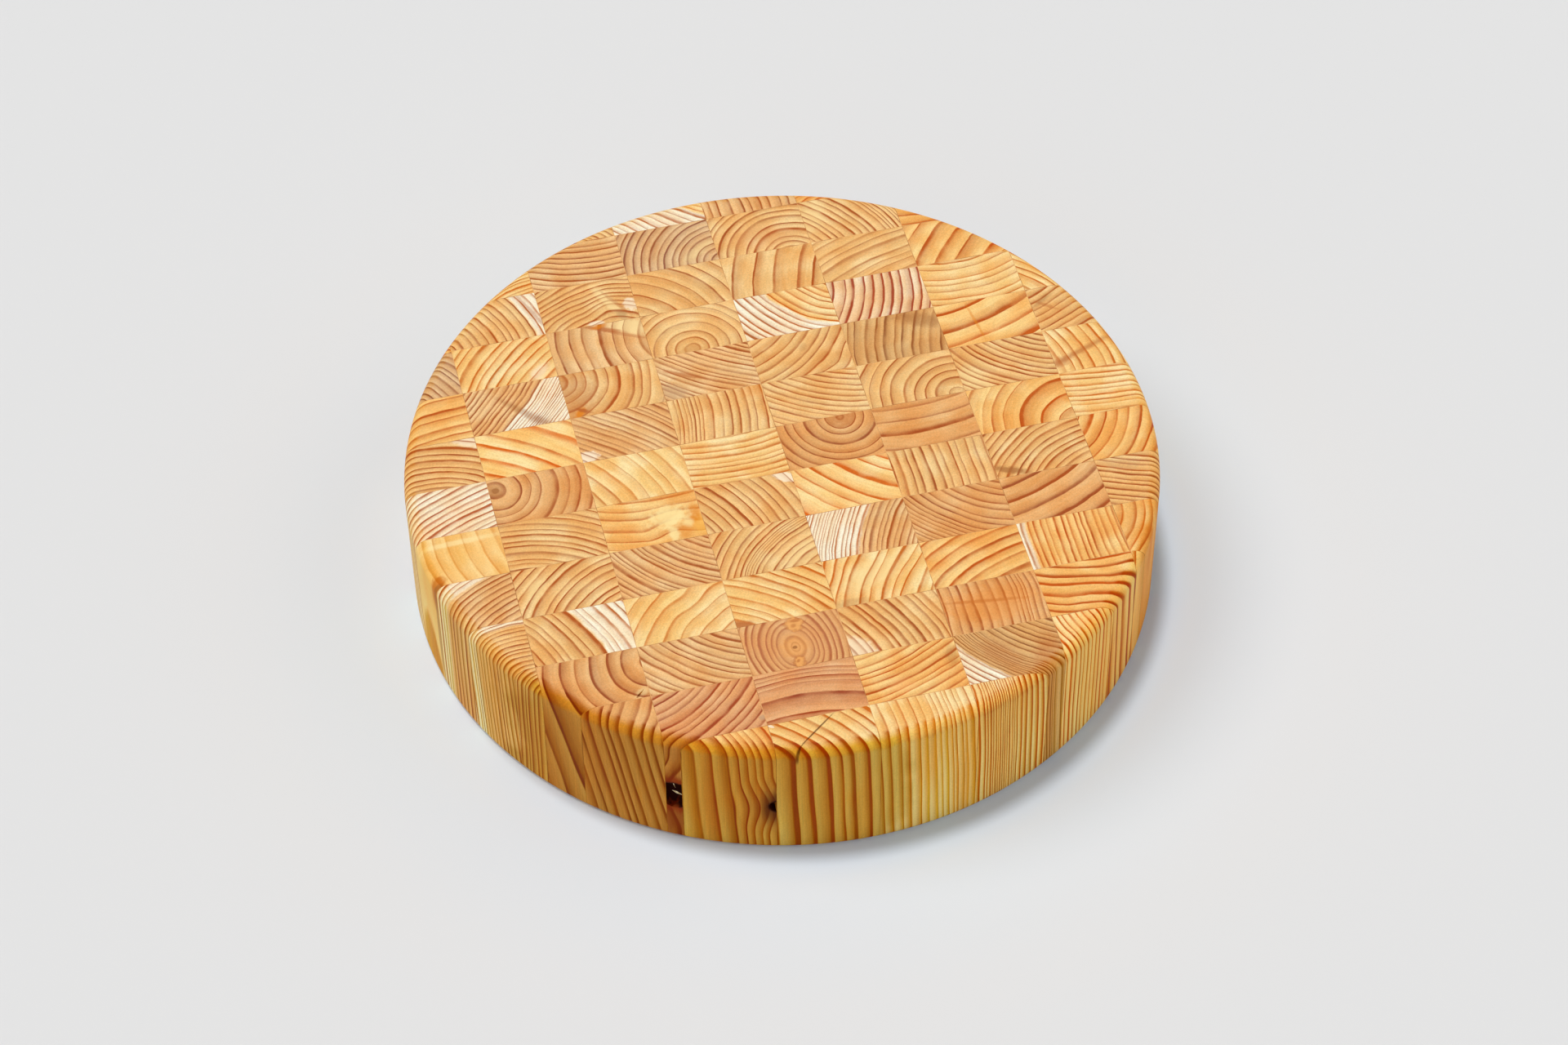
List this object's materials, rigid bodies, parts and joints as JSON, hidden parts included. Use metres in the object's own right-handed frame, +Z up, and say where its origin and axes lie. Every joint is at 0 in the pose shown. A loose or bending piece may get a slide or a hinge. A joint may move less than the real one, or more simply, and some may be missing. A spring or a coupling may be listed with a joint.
{
  "type": "round cheese board",
  "caption": "Thick round serving board of upright larch blocks glued in a plain grid, with end grain on both flat faces and a rounded upper rim.",
  "frame": {"origin": "centre of the flat underside", "axes": "+X across the strips of blocks, +Y along the strips away from the front, +Z up out of the serving face"},
  "size_m": [0.305, 0.305, 0.06],
  "materials": {
    "larch_honey": "oiled end grain, honey heartwood",
    "larch_pale": "oiled end grain, pale sapwood",
    "larch_red": "oiled end grain, red heartwood",
    "glue": "dry adhesive"
  },
  "bodies": {
    "root": {"strip_a_block_01": "larch_honey", "strip_a_block_02": "larch_pale", "strip_a_block_03": "larch_honey", "strip_b_block_01": "larch_honey", "strip_b_block_02": "larch_honey", "strip_b_block_03": "larch_honey", "strip_b_block_04": "larch_red", "strip_b_block_05": "larch_pale", "strip_b_block_06": "larch_honey", "strip_b_block_07": "larch_honey", "strip_c_block_01": "larch_red", "strip_c_block_02": "larch_pale", "strip_c_block_03": "larch_red", "strip_c_block_04": "larch_honey", "strip_c_block_05": "larch_pale", "strip_c_block_06": "larch_honey", "strip_c_block_07": "larch_red", "strip_c_block_08": "larch_red", "strip_c_block_09": "larch_honey", "strip_d_block_01": "larch_red", "strip_d_block_02": "larch_red", "strip_d_block_03": "larch_honey", "strip_d_block_04": "larch_honey", "strip_d_block_05": "larch_honey", "strip_d_block_06": "larch_pale", "strip_d_block_07": "larch_pale", "strip_d_block_08": "larch_red", "strip_d_block_09": "larch_honey", "strip_d_block_10": "larch_honey", "strip_d_block_11": "larch_red", "strip_e_block_01": "larch_honey", "strip_e_block_02": "larch_pale", "strip_e_block_03": "larch_pale", "strip_e_block_04": "larch_honey", "strip_e_block_05": "larch_pale", "strip_e_block_06": "larch_red", "strip_e_block_07": "larch_honey", "strip_e_block_08": "larch_honey", "strip_e_block_09": "larch_pale", "strip_e_block_10": "larch_honey", "strip_e_block_11": "larch_honey", "strip_f_block_01": "larch_honey", "strip_f_block_02": "larch_pale", "strip_f_block_03": "larch_honey", "strip_f_block_04": "larch_honey", "strip_f_block_05": "larch_red", "strip_f_block_06": "larch_honey", "strip_f_block_07": "larch_red", "strip_f_block_08": "larch_red", "strip_f_block_09": "larch_pale", "strip_g_block_01": "larch_red", "strip_g_block_02": "larch_red", "strip_g_block_03": "larch_honey", "strip_g_block_04": "larch_honey", "strip_g_block_05": "larch_pale", "strip_g_block_06": "larch_honey", "strip_g_block_07": "larch_honey", "strip_h_block_01": "larch_honey", "strip_h_block_02": "larch_honey", "glue_web": "glue"}
  },
  "joints": []
}
